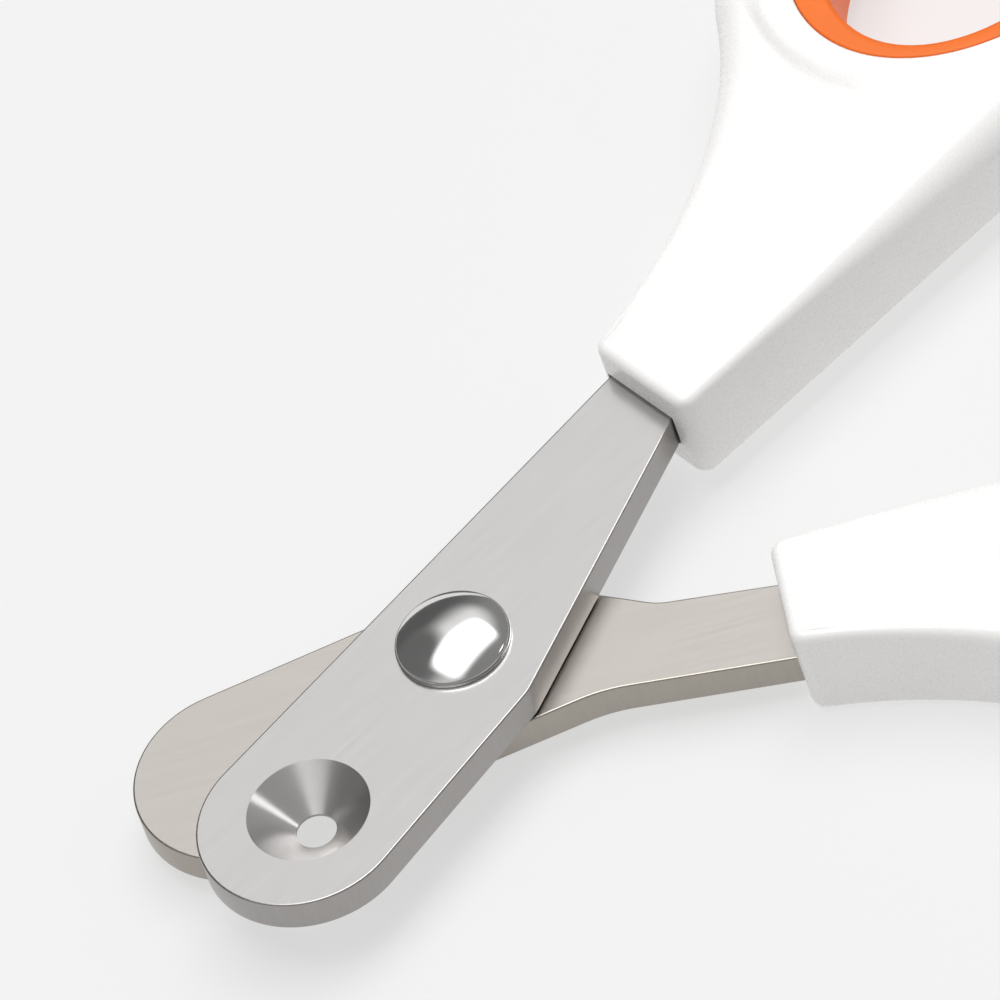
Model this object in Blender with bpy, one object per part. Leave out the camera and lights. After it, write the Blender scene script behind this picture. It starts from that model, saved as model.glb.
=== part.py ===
"""Pet nail trimmer: two blades crossed on a rivet, each moulded into a ring handle with a soft liner.

The origin is on the pivot axis, on the plane that the trimmer lies on. +Z points out of the domed
face. +X runs from the blades' tips to the handles and halves the angle between the two handles.
Each half is drawn in a frame of its own, in millimetres: p runs from the pivot along the handle's
straight inner edge and q points from that edge to the outside of the half.
"""

import math

import bmesh
import bpy
import numpy as np
from mathutils import Matrix, Vector

MM = 0.001
UPPER = 1
LOWER = -1

# Opening and levels
HALF_OPENING = math.radians(16.7)
BLADE_THICKNESS = 2.5
BLADE_GAP = 0.2
LOWER_BLADE_Z = 1.9
UPPER_BLADE_Z = LOWER_BLADE_Z + BLADE_THICKNESS + BLADE_GAP
HANDLE_THICKNESS = 8.4
LOWER_HANDLE_Z = 0.0
UPPER_HANDLE_Z = 1.9
FIT_GAP = 0.15

# Blades
UPPER_TIP_CENTRE = (-16.6, -2.55)
UPPER_TIP_RADIUS = 7.24
LOWER_TIP_CENTRE = (-16.25, 3.6)
LOWER_TIP_RADIUS = 7.25
LOWER_TIP_END = math.radians(118.0)
EDGE_BREAK = 0.12
TANG_END = 43.0
ANCHOR_HOLE_RADIUS = 1.5
UPPER_ANCHORS = ((29.0, 5.7), (37.0, 6.3))
LOWER_ANCHORS = ((29.0, 5.3), (37.0, 6.0))

# Claw hole in the upper blade, and the ground edge of the lower blade that shears past it
CLAW_HOLE_CENTRE = (-15.8, -2.4)
CLAW_HOLE_RADIUS = 1.4
COUNTERSINK_RADIUS = 4.26
CLAW_HOLE_LAND = 0.2
EDGE_START = -18.3
EDGE_END = -4.5
EDGE_LAND = 0.25
EDGE_BEVEL_ANGLE = math.radians(42.0)
EDGE_CUT_REACH = 6.0
STRAIGHT_EDGE_HEEL = (8.8, 5.4)

# Handles and liners
HANDLE_START = 22.0
HANDLE_INNER_EDGE = -0.3
HANDLE_START_WIDTH = 9.05
HANDLE_CORNER = 1.1
HANDLE_EDGE_ROUND = 0.9
NECK_START_SLOPE = math.radians(9.5)
NECK_START_PULL = 11.0
NECK_END_PULL = 8.0
RING_CENTRE = (63.5, 15.35)
RING_OUTER = (19.2, 15.65)
RING_NECK_ANGLE = math.radians(150.0)
OPENING_CENTRE = (64.0, 14.8)
OPENING = (14.1, 11.35)
LINER_HOLE_CENTRE = (64.4, 14.6)
LINER_HOLE = (12.7, 9.4)
LINER_HOLE_TILT = math.radians(12.0)
LINER_EDGE_ROUND = 0.3
LINER_INSET = 0.1

# Pivot
SHANK_RADIUS = 2.5
SHANK_GAP = 0.1
DOME_RADIUS = 3.98
DOME_RISE = 1.6
DOME_EDGE = 0.2
STUB_RADIUS = 1.5
WASHER_RADIUS = 4.5
WASHER_THICKNESS = 0.45
CAP_RADIUS = 4.0
CAP_HEIGHT = 1.15
CAP_FLOOR = 0.5
CAP_EDGE = 0.3

ROUND_SEGMENTS = 64
OVAL_SEGMENTS = 72
ARC_STEP = math.radians(9.0)
CUT_OVERRUN = 1.0


# Scene and materials

def clear_scene():
    for item in list(bpy.data.objects):
        bpy.data.objects.remove(item)


def make_material(name, colour, roughness, metallic):
    material = bpy.data.materials.new(name)
    material.use_nodes = True
    shader = material.node_tree.nodes["Principled BSDF"]
    shader.inputs["Base Color"].default_value = (*colour, 1.0)
    shader.inputs["Roughness"].default_value = roughness
    shader.inputs["Metallic"].default_value = metallic
    return material


def add_object(name, mesh_data, material):
    """Turn a bmesh in millimetres into a smooth-shaded object in metres."""
    bmesh.ops.scale(mesh_data, vec=(MM, MM, MM), verts=mesh_data.verts)
    bmesh.ops.recalc_face_normals(mesh_data, faces=mesh_data.faces)
    if mesh_data.calc_volume(signed=True) < 0:
        bmesh.ops.reverse_faces(mesh_data, faces=mesh_data.faces)
    mesh = bpy.data.meshes.new(name)
    mesh_data.to_mesh(mesh)
    mesh_data.free()
    mesh.shade_smooth()
    mesh.set_sharp_from_angle(angle=math.radians(30.0))
    made = bpy.data.objects.new(name, mesh)
    bpy.context.collection.objects.link(made)
    if material is not None:
        mesh.materials.append(material)
    return made


def add_cutter(name, mesh_data):
    cutter = add_object(name, mesh_data, None)
    cutter.hide_render = True
    cutter.display_type = "WIRE"
    return cutter


def cut(target, cutter):
    boolean = target.modifiers.new(cutter.name, "BOOLEAN")
    boolean.operation = "DIFFERENCE"
    boolean.solver = "EXACT"
    boolean.object = cutter


def turn_half(item, side):
    """Swing an object of one half about the pivot axis to its place in the opened trimmer."""
    item.rotation_euler.z = side * HALF_OPENING


# Outlines, in millimetres

def tangent_angle(centre, radius, point, turn):
    """Angle on a circle where the tangent line to an outside point touches it, on the side of turn."""
    offset = Vector(point) - Vector(centre)
    return math.atan2(offset.y, offset.x) + turn * math.acos(radius / offset.length)


def arc_corners(centre, radius, start, end):
    """Points on an arc from the start angle to the end angle, as sharp corners."""
    steps = math.ceil(abs(end - start) / ARC_STEP)
    angles = np.linspace(start, end, steps + 1)
    return [(centre[0] + radius * math.cos(a), centre[1] + radius * math.sin(a), 0.0) for a in angles]


def rounded_outline(corners):
    """Closed outline through corners (x, y, radius), each turned by an arc of its own radius."""
    points = []
    for index, (x, y, radius) in enumerate(corners):
        corner = Vector((x, y))
        if radius == 0.0:
            points.append(tuple(corner))
            continue
        before = (Vector(corners[index - 1][:2]) - corner).normalized()
        after = (Vector(corners[(index + 1) % len(corners)][:2]) - corner).normalized()
        half_angle = before.angle(after) / 2
        centre = corner + (before + after).normalized() * (radius / math.sin(half_angle))
        start = corner + before * (radius / math.tan(half_angle)) - centre
        end = corner + after * (radius / math.tan(half_angle)) - centre
        turn = math.atan2(start.cross(end), start.dot(end))
        steps = max(2, math.ceil(abs(turn) / ARC_STEP))
        for step in range(steps + 1):
            points.append(tuple(centre + Matrix.Rotation(turn * step / steps, 2) @ start))
    return np.array(points)


def oval(centre, semi_axes, grow=0.0, tilt=0.0):
    angles = np.linspace(0.0, 2 * math.pi, OVAL_SEGMENTS, endpoint=False) - tilt
    along = (semi_axes[0] + grow) * np.cos(angles)
    across = (semi_axes[1] + grow) * np.sin(angles)
    x = centre[0] + along * math.cos(tilt) - across * math.sin(tilt)
    y = centre[1] + along * math.sin(tilt) + across * math.cos(tilt)
    return np.column_stack((x, y))


def circle(centre, radius):
    angles = np.linspace(0.0, 2 * math.pi, ROUND_SEGMENTS // 2, endpoint=False)
    return np.column_stack((centre[0] + radius * np.cos(angles), centre[1] + radius * np.sin(angles)))


def grow_outline(points, distance):
    """Move every edge of an anticlockwise outline outwards by a distance, mitred at the corners."""
    ahead = np.roll(points, -1, axis=0) - points
    ahead /= np.linalg.norm(ahead, axis=1)[:, None]
    behind = np.roll(ahead, 1, axis=0)
    normals = np.column_stack((ahead[:, 1], -ahead[:, 0])) + np.column_stack((behind[:, 1], -behind[:, 0]))
    lengths = np.sum(normals * normals, axis=1) / 2
    return points + distance * normals / lengths[:, None]


def upper_blade_corners():
    """Round tip, straight back, and an inner edge that turns at the heel towards the tang."""
    heel = (0.2, -7.3)
    tang_back = (TANG_END, 9.55)
    top = tangent_angle(UPPER_TIP_CENTRE, UPPER_TIP_RADIUS, tang_back, 1)
    bottom = tangent_angle(UPPER_TIP_CENTRE, UPPER_TIP_RADIUS, heel, -1)
    tip = arc_corners(UPPER_TIP_CENTRE, UPPER_TIP_RADIUS, top, bottom + 2 * math.pi)
    tang = [(23.2, 2.05, 3.0), (TANG_END, 4.2, 2.4), (*tang_back, 2.4)]
    return tip + [(*heel, 4.0)] + tang


def lower_blade_corners():
    """Round tip cut off by the straight shearing edge, and a body that bends at the tang."""
    hidden_heel = (2.6, -7.0)
    top = tangent_angle(LOWER_TIP_CENTRE, LOWER_TIP_RADIUS, hidden_heel, -1)
    tip = arc_corners(LOWER_TIP_CENTRE, LOWER_TIP_RADIUS, LOWER_TIP_END, top + 2 * math.pi)
    inner = [(*hidden_heel, 3.0), (13.6, -0.65, 4.0), (TANG_END, 4.2, 2.4)]
    outer = [(TANG_END, 9.6, 2.4), (24.0, 7.7, 6.0), (*STRAIGHT_EDGE_HEEL, 11.0)]
    return tip + inner + outer


def handle_outline():
    """Straight inner edge, round far end of the ring, and a neck that sweeps in to the blade."""
    ring_end = RING_NECK_ANGLE
    ring_angles = np.linspace(-math.pi / 2, ring_end, 44)
    ring = np.column_stack((
        RING_CENTRE[0] + RING_OUTER[0] * np.cos(ring_angles),
        RING_CENTRE[1] + RING_OUTER[1] * np.sin(ring_angles),
    ))
    heading = np.array((RING_OUTER[0] * math.sin(ring_end), -RING_OUTER[1] * math.cos(ring_end)))
    heading /= np.linalg.norm(heading)
    neck_end = np.array((HANDLE_START, HANDLE_INNER_EDGE + HANDLE_START_WIDTH))
    neck_heading = np.array((math.cos(NECK_START_SLOPE), math.sin(NECK_START_SLOPE)))
    neck_pull = neck_end + NECK_START_PULL * neck_heading
    ring_pull = ring[-1] - NECK_END_PULL * heading
    t = np.linspace(0.0, 1.0, 20)[1:-1, None]
    neck = (
        (1 - t) ** 3 * ring[-1] + 3 * (1 - t) ** 2 * t * ring_pull
        + 3 * (1 - t) * t ** 2 * neck_pull + t ** 3 * neck_end
    )
    corners = [(x, y, 0.0) for x, y in np.vstack((ring, neck))]
    corners += [(*neck_end, HANDLE_CORNER), (HANDLE_START, HANDLE_INNER_EDGE, HANDLE_CORNER)]
    return rounded_outline(corners)


# Solids, in millimetres

def place_loop(mesh_data, points, side, z):
    return [mesh_data.verts.new((p, side * q, z)) for p, q in points]


def bridge(mesh_data, first, second):
    count = len(first)
    for index in range(count):
        after = (index + 1) % count
        mesh_data.faces.new((first[index], first[after], second[after], second[index]))


def edge_steps(bottom, top, round_radius, steps):
    """Inset and height of each level of a slab whose top and bottom edges are quarter rounds."""
    angles = np.linspace(0.0, math.pi / 2, steps + 1)
    insets = round_radius * (1 - np.sin(angles))
    drops = round_radius * (1 - np.cos(angles))
    lower = [(inset, bottom + drop) for inset, drop in zip(insets, drops)]
    upper = [(inset, top - drop) for inset, drop in zip(insets[::-1], drops[::-1])]
    return lower + upper


def slab(outline, side, levels):
    """Closed slab: the outline repeated at each level (inset, height), with flat ends."""
    mesh_data = bmesh.new()
    loops = [place_loop(mesh_data, grow_outline(outline, -inset), side, z) for inset, z in levels]
    for first, second in zip(loops, loops[1:]):
        bridge(mesh_data, first, second)
    mesh_data.faces.new(loops[0])
    mesh_data.faces.new(loops[-1])
    return mesh_data


def turned(profile):
    """Solid turned about the Z axis from (radius, height) points; radius 0 closes an end."""
    mesh_data = bmesh.new()
    angles = np.linspace(0.0, 2 * math.pi, ROUND_SEGMENTS, endpoint=False)
    rings = []
    for radius, z in profile:
        if radius == 0.0:
            rings.append([mesh_data.verts.new((0.0, 0.0, z))])
        else:
            places = [(radius * math.cos(angle), radius * math.sin(angle), z) for angle in angles]
            rings.append([mesh_data.verts.new(place) for place in places])
    closed = rings + [rings[0]] if len(rings[0]) > 1 and len(rings[-1]) > 1 else rings
    for first, second in zip(closed, closed[1:]):
        for index in range(ROUND_SEGMENTS):
            after = (index + 1) % ROUND_SEGMENTS
            if len(first) == 1:
                mesh_data.faces.new((first[0], second[after], second[index]))
            elif len(second) == 1:
                mesh_data.faces.new((first[index], first[after], second[0]))
            else:
                mesh_data.faces.new((first[index], first[after], second[after], second[index]))
    return mesh_data


# Sub-parts

def blade_level(side):
    return UPPER_BLADE_Z if side == UPPER else LOWER_BLADE_Z


def blade_outline(side):
    return rounded_outline(upper_blade_corners() if side == UPPER else lower_blade_corners())


def handle_level(side):
    return UPPER_HANDLE_Z if side == UPPER else LOWER_HANDLE_Z


def anchors(side):
    return UPPER_ANCHORS if side == UPPER else LOWER_ANCHORS


def drill(target, name, centre, radius, side, bottom, top):
    hole = add_cutter(name, slab(circle(centre, radius), side, [(0.0, bottom), (0.0, top)]))
    turn_half(hole, side)
    cut(target, hole)


def make_blade(name, side, material):
    """Flat steel blade with broken edges, a pivot hole and two anchor holes in its tang."""
    bottom = blade_level(side)
    top = bottom + BLADE_THICKNESS
    levels = [(EDGE_BREAK, bottom), (0.0, bottom + EDGE_BREAK), (0.0, top - EDGE_BREAK), (EDGE_BREAK, top)]
    blade = add_object(name, slab(blade_outline(side), side, levels), material)
    turn_half(blade, side)
    through = (bottom - CUT_OVERRUN, top + CUT_OVERRUN)
    drill(blade, name + "_pivot_cut", (0.0, 0.0), SHANK_RADIUS + SHANK_GAP, side, *through)
    for index, centre in enumerate(anchors(side)):
        drill(blade, f"{name}_anchor_cut_{index}", centre, ANCHOR_HOLE_RADIUS, side, *through)
    return blade


def cut_claw_hole(blade):
    """Countersink from the top face down to the small round hole that the claw goes through."""
    bottom = UPPER_BLADE_Z
    land_top = bottom + CLAW_HOLE_LAND
    slope = (COUNTERSINK_RADIUS - CLAW_HOLE_RADIUS) / (BLADE_THICKNESS - CLAW_HOLE_LAND)
    profile = [
        (0.0, bottom - CUT_OVERRUN),
        (CLAW_HOLE_RADIUS, bottom - CUT_OVERRUN),
        (CLAW_HOLE_RADIUS, land_top),
        (COUNTERSINK_RADIUS + slope * CUT_OVERRUN, bottom + BLADE_THICKNESS + CUT_OVERRUN),
        (0.0, bottom + BLADE_THICKNESS + CUT_OVERRUN),
    ]
    cutter = add_cutter("claw_hole_cut", turned(profile))
    centre = Matrix.Rotation(HALF_OPENING, 2) @ Vector(CLAW_HOLE_CENTRE)
    cutter.location = (centre.x * MM, centre.y * MM, 0.0)
    cut(blade, cutter)


def cut_shearing_edge(blade):
    """Grind the underside of the lower blade back from its straight edge, leaving a narrow land."""
    heel = np.array(STRAIGHT_EDGE_HEEL)
    tip_end = np.array(LOWER_TIP_CENTRE)
    tip_end += LOWER_TIP_RADIUS * np.array((math.cos(LOWER_TIP_END), math.sin(LOWER_TIP_END)))
    along = (heel - tip_end) / np.linalg.norm(heel - tip_end)
    inward = np.array((along[1], -along[0]))
    start = heel + along * (EDGE_START - heel[0]) / along[0]
    end = heel + along * (EDGE_END - heel[0]) / along[0]
    depth = BLADE_THICKNESS - EDGE_LAND + CUT_OVERRUN
    run = depth * math.tan(EDGE_BEVEL_ANGLE)
    top = LOWER_BLADE_Z + BLADE_THICKNESS - EDGE_LAND
    mesh_data = bmesh.new()
    ends = []
    section = ((-EDGE_CUT_REACH, top), (0.0, top), (run, top - depth), (-EDGE_CUT_REACH, top - depth))
    for corner in (start, end):
        places = [(*(corner + inward * offset), z) for offset, z in section]
        ends.append([mesh_data.verts.new((p, LOWER * q, z)) for p, q, z in places])
    bridge(mesh_data, ends[0], ends[1])
    mesh_data.faces.new(ends[0])
    mesh_data.faces.new(ends[1])
    cutter = add_cutter("shearing_edge_cut", mesh_data)
    turn_half(cutter, LOWER)
    cut(blade, cutter)


def make_handle(name, side, material):
    """Moulded handle with its finger opening and the socket that holds the tang."""
    bottom = handle_level(side)
    top = bottom + HANDLE_THICKNESS
    rounded_levels = edge_steps(bottom, top, HANDLE_EDGE_ROUND, 4)
    handle = add_object(name, slab(handle_outline(), side, rounded_levels), material)
    turn_half(handle, side)
    through = [(0.0, bottom - CUT_OVERRUN), (0.0, top + CUT_OVERRUN)]
    opening = slab(oval(OPENING_CENTRE, OPENING), side, through)
    opening_cut = add_cutter(name + "_opening_cut", opening)
    turn_half(opening_cut, side)
    cut(handle, opening_cut)
    tang_bottom = blade_level(side)
    tang_top = tang_bottom + BLADE_THICKNESS
    socket_levels = [(0.0, tang_bottom - FIT_GAP), (0.0, tang_top + FIT_GAP)]
    socket = slab(grow_outline(blade_outline(side), FIT_GAP), side, socket_levels)
    socket_cut = add_cutter(name + "_socket_cut", socket)
    turn_half(socket_cut, side)
    post_levels = (tang_bottom - CUT_OVERRUN, tang_top + CUT_OVERRUN)
    for index, centre in enumerate(anchors(side)):
        drill(socket_cut, f"{name}_post_{index}", centre, ANCHOR_HOLE_RADIUS - FIT_GAP, side, *post_levels)
    cut(handle, socket_cut)
    return handle


def make_liner(name, side, material):
    """Soft oval ring in the finger opening, thickest next to the blade."""
    bottom = handle_level(side) + LINER_INSET
    top = bottom + HANDLE_THICKNESS - 2 * LINER_INSET
    levels = edge_steps(bottom, top, LINER_EDGE_ROUND, 3)
    mesh_data = bmesh.new()
    outer = oval(OPENING_CENTRE, OPENING, -FIT_GAP)
    loops = [place_loop(mesh_data, outer, side, top), place_loop(mesh_data, outer, side, bottom)]
    for inset, z in levels:
        hole = oval(LINER_HOLE_CENTRE, LINER_HOLE, inset, LINER_HOLE_TILT)
        loops.append(place_loop(mesh_data, hole, side, z))
    for first, second in zip(loops, loops[1:] + loops[:1]):
        bridge(mesh_data, first, second)
    liner = add_object(name, mesh_data, material)
    turn_half(liner, side)
    return liner


def make_pivot_rivet(material):
    """Domed head on the upper blade, a shank through both blades and a stub for the back cap."""
    head = UPPER_BLADE_Z + BLADE_THICKNESS + FIT_GAP
    ball = (DOME_RADIUS ** 2 + DOME_RISE ** 2) / (2 * DOME_RISE)
    half_angle = math.asin(DOME_RADIUS / ball)
    ball_centre = head + DOME_EDGE + DOME_RISE - ball
    shoulder = CAP_HEIGHT + FIT_GAP
    profile = [(0.0, CAP_FLOOR + FIT_GAP), (STUB_RADIUS, CAP_FLOOR + FIT_GAP), (STUB_RADIUS, shoulder)]
    profile += [(SHANK_RADIUS, shoulder), (SHANK_RADIUS, head), (DOME_RADIUS, head)]
    for angle in np.linspace(half_angle, 0.0, 10)[:-1]:
        profile.append((ball * math.sin(angle), ball_centre + ball * math.cos(angle)))
    profile.append((0.0, ball_centre + ball))
    return add_object("pivot_rivet", turned(profile), material)


def make_pivot_washer(material):
    """Flat ring between the back cap and the lower blade."""
    bottom = CAP_HEIGHT + FIT_GAP
    top = bottom + WASHER_THICKNESS
    bore = SHANK_RADIUS + FIT_GAP
    profile = [(bore, bottom), (WASHER_RADIUS, bottom), (WASHER_RADIUS, top), (bore, top)]
    return add_object("pivot_washer", turned(profile), material)


def make_pivot_back_cap(material):
    """Round cap on the rivet's stub, flat and solid on the face that the trimmer lies on."""
    bore = STUB_RADIUS + FIT_GAP
    profile = [(0.0, 0.0), (CAP_RADIUS - CAP_EDGE, 0.0), (CAP_RADIUS, CAP_EDGE), (CAP_RADIUS, CAP_HEIGHT)]
    profile += [(bore, CAP_HEIGHT), (bore, CAP_FLOOR), (0.0, CAP_FLOOR)]
    return add_object("pivot_back_cap", turned(profile), material)


def main():
    clear_scene()
    bright_steel = make_material("satin_blade_steel", (0.63, 0.62, 0.62), 0.3, 1.0)
    warm_steel = make_material("satin_blade_steel_lower", (0.58, 0.56, 0.54), 0.32, 1.0)
    polished = make_material("polished_rivet_steel", (0.8, 0.8, 0.8), 0.08, 1.0)
    zinc = make_material("zinc_plated_steel", (0.6, 0.6, 0.6), 0.35, 1.0)
    white = make_material("white_abs", (0.9, 0.9, 0.89), 0.25, 0.0)
    orange = make_material("orange_soft_grip", (0.95, 0.22, 0.04), 0.5, 0.0)

    upper_blade = make_blade("upper_blade", UPPER, bright_steel)
    cut_claw_hole(upper_blade)
    lower_blade = make_blade("lower_blade", LOWER, warm_steel)
    cut_shearing_edge(lower_blade)
    for name, side in (("upper", UPPER), ("lower", LOWER)):
        make_handle(name + "_handle", side, white)
        make_liner(name + "_ring_liner", side, orange)
    make_pivot_rivet(polished)
    make_pivot_washer(zinc)
    make_pivot_back_cap(polished)


main()
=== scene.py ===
"""Looks of a pet nail trimmer: two steel blades on a domed rivet, in white ring handles with soft liners.

Each half is drawn in a frame of its own, in millimetres: p runs from the pivot along the handle's
straight inner edge, and q points from that edge to the outside of the half.
"""

import math

import bmesh
import bpy
import numpy as np
from bpy.props import FloatProperty, FloatVectorProperty, PointerProperty
from mathutils import Matrix, Vector
from mathutils.geometry import tessellate_polygon


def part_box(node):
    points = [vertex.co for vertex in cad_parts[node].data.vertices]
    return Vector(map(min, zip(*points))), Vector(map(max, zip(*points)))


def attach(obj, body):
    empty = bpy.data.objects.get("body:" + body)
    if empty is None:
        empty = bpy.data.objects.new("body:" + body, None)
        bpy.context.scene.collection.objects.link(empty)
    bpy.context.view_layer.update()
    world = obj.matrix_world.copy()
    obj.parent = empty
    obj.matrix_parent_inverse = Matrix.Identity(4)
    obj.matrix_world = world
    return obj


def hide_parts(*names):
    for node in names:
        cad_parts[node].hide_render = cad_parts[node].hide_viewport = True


bl_info = {
    "name": "Pet Nail Trimmer",
    "version": (1, 0, 0),
    "blender": (4, 5, 0),
    "location": "3D View > Sidebar > Trimmer",
    "description": "Builds the visible pieces of a pet nail trimmer around its packed frame",
    "category": "Add Mesh",
}

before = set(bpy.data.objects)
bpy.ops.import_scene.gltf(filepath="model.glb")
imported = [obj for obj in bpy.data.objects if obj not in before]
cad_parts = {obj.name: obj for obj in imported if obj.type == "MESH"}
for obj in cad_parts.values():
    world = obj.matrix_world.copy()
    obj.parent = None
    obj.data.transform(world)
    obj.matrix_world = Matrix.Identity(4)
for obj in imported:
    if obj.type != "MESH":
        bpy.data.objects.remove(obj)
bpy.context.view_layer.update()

MM = 0.001
UPPER = 1
LOWER = -1
HALF_BODIES = {UPPER: "upper_half", LOWER: "lower_half"}
HALF_OPENING = math.radians(16.7)

# Blades: circles as (centre, radius), places as (p, q)
UPPER_TIP = ((-16.6, -2.55), 7.24)
LOWER_TIP = ((-16.25, 3.6), 7.25)
LOWER_TIP_END = math.radians(118.0)
TANG_END = 43.0
ANCHORS = {UPPER: ((29.0, 5.7), (37.0, 6.3)), LOWER: ((29.0, 5.3), (37.0, 6.0))}
ANCHOR_RADIUS = 1.5
PIVOT_HOLE_RADIUS = 2.6
CLAW_HOLE_CENTRE = (-15.8, -2.4)
CLAW_HOLE_LAND = 0.2
STRAIGHT_EDGE_HEEL = (8.8, 5.4)
# The shearing bevel lies between these p and fades over the run-out.
EDGE_SPAN = (-18.3, -4.5)
RUN_OUT = 1.6
# Material slots of a blade
FACE_FINISH = 0
RIM_FINISH = 1
CONE_FINISH = 2

# Handle outline
HANDLE_START = 22.0
HANDLE_END_CORNER = 1.1
INNER_EDGE = -0.3
NECK_WIDTH = 9.05
NECK_SLOPE = math.radians(9.5)
# Lengths of the neck curve's pulls, at the blade end and at the ring
NECK_PULLS = (11.0, 8.0)
RING_CENTRE = (63.5, 15.35)
RING_AXES = (19.2, 15.65)
RING_END = math.radians(150.0)
# The edge round grows from the blade end's to the ring's between these p.
ROUND_GROWS = (26.0, 54.0)

# Tang's socket: gaps round the tang, and the limits that find its mouth in the end face
TANG_SIDE_GAP = 0.15
TANG_SEAT_GAP = 0.04
MOUTH_DEPTH = 0.4
MOUTH_REACH = 3.0
END_FACE_DEPTH = 0.6
TANG_MIDDLE_RISE = 1.5

# Finger opening and liner
OPENING_CENTRE = (64.0, 14.8)
OPENING = (14.1, 11.35)
OPENING_EDGE_ROUND = 0.25
LINER_HOLE_CENTRE = (64.4, 15.0)
LINER_HOLE = (12.7, 9.4)
LINER_HOLE_TILT = math.radians(12.0)
SEAT_ROUND = 0.15
# Most of the liner's width that its seat round and its lip round may take
SEAT_SHARE = 0.2
LIP_SHARE = 0.62

# Raised rim round the opening: its oval, the share of that oval over which it steps down at the
# neck, the share added along the sides, and the cosines between which the two are mixed
RIM_CENTRE = (63.8, 15.0)
RIM = (16.4, 14.5)
RIM_STEP = 0.035
RIM_FADE = 0.25
NECKWARD = (0.78, 0.95)

# Pivot
SHANK_RADIUS = 2.5
STUB_RADIUS = 1.5
HEAD_CLEARANCE = 0.03
DOME_FLATTENING = 0.25
WASHER_RADIUS = 4.5
WASHER_BORE = 2.65
CAP_RADIUS = 4.0
CAP_BORE = 1.65
CAP_FLOOR = 0.5
CAP_ROUND = 0.35

# Grids and curves
RING_POINTS = 160
NECK_POINTS = 80
BLADE_COLUMNS = 420
HANDLE_COLUMNS = 900
TURNED_COLUMNS = 192
LINER_COLUMNS = 720
FACE_ROWS = 60
DOME_STEP = math.radians(0.7)
# Radians that a millimetre of outline adds to a column's angle on the opening
LENGTH_SHARE = 0.05
# Metres below which two points become one
MERGE_DISTANCE = 2e-7

# Stage
VIEW_CENTRE = (7.18, 4.60, 12.14)
FLOOR_HALF = 1.5
FLOOR_DROP = 0.03
WALL_LIGHT = 0.34
# Azimuth, elevation, inner and outer radius in degrees, and radiance of each patch of the room.
ROOM_PATCHES = (
    (75.0, 56.0, 24.0, 44.0, 1.15),
    (98.0, 5.0, 20.0, 50.0, 0.15),
    (135.0, 42.0, 18.0, 36.0, 0.2),
    (-138.0, 46.0, 8.0, 30.0, 0.85),
    (-16.0, 36.0, 3.0, 8.0, 3.5),
)
# Ceiling place for a height of 1, turn, half sizes, blur and radiance of each softbox.
SOFTBOXES = (((0.26, 0.22), 26.0, (0.7, 0.28), 0.4, 6.3),)


def srgb(hex_colour):
    """Linear RGB of an sRGB hex colour."""
    channels = [int(hex_colour[i:i + 2], 16) / 255 for i in (1, 3, 5)]
    return tuple(c / 12.92 if c <= 0.04045 else ((c + 0.055) / 1.055) ** 2.4 for c in channels)


def levels(node):
    """Bottom and top of a frame node, in millimetres."""
    low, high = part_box(node)
    return low.z / MM, high.z / MM


def half_node(side, kind):
    """Name of the frame node of this kind on one half."""
    return ("upper_" if side == UPPER else "lower_") + kind


def colour_property(name, description, hex_colour):
    """Colour setting whose default is an sRGB hex colour."""
    return FloatVectorProperty(
        name=name, description=description, subtype="COLOR", size=3, min=0.0, max=1.0,
        default=srgb(hex_colour),
    )


def size_property(name, description, millimetres):
    """Length setting whose default is given in millimetres."""
    return FloatProperty(
        name=name, description=description, subtype="DISTANCE", unit="LENGTH", min=0.0,
        default=millimetres * MM,
    )


def angle_property(name, description, degrees):
    """Angle setting whose default is given in degrees."""
    return FloatProperty(name=name, description=description, subtype="ANGLE", default=math.radians(degrees))


class BladeSettings(bpy.types.PropertyGroup):
    edge_break: size_property("Edge break", "Width of the small round along the blades' edges", 0.14)
    claw_hole: size_property("Claw hole radius", "Radius of the small hole for the claw", 1.4)
    countersink: size_property("Countersink radius", "Radius of the cone at the top face", 4.26)
    edge_land: size_property("Shearing land", "Height left under the shearing edge", 0.25)
    edge_angle: angle_property("Shearing angle", "Angle of the ground bevel from upright", 42.0)
    grind_spacing: size_property("Grinding line spacing", "Distance between the fine lines", 0.16)
    upper_colour: colour_property("Upper blade steel", "Ground steel of the upper blade", "#D2D0CF")
    lower_colour: colour_property("Lower blade steel", "Ground steel of the lower blade", "#CFCAC4")
    # Rim colours: the blanked finish's own dull tone, darkened further as painted shade for the shadowed
    # floor that the upright sides reflect.
    upper_rim_steel_and_shade: colour_property("Upper blade rim", "Blanked side of the upper blade", "#A4A19F")
    lower_rim_steel_and_shade: colour_property("Lower blade rim", "Blanked side of the lower blade", "#A7A199")


class HandleSettings(bpy.types.PropertyGroup):
    blade_end_round: size_property("Edge round at the blade", "Round of the edges at the blade end", 0.7)
    ring_round: size_property("Edge round at the ring", "Round of the edges along the ring", 2.6)
    under_round: size_property("Underside round", "Round of the edges of the underside", 0.8)
    rim_height: size_property("Rim height", "How far the ring's rim stands above the neck", 0.45)
    socket_gap: size_property("Socket gap", "Gap above the upper tang where it enters its handle", 0.3)
    plastic: colour_property("ABS colour", "White moulded ABS", "#F6F5F3")


class LinerSettings(bpy.types.PropertyGroup):
    lip_round: size_property("Lip round", "Round of the liner's inner lips", 0.7)
    seat_gap: size_property("Seat gap", "Fine gap between the liner and the handle", 0.05)
    rubber: colour_property("Soft grip colour", "Orange thermoplastic rubber", "#F0700F")


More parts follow.
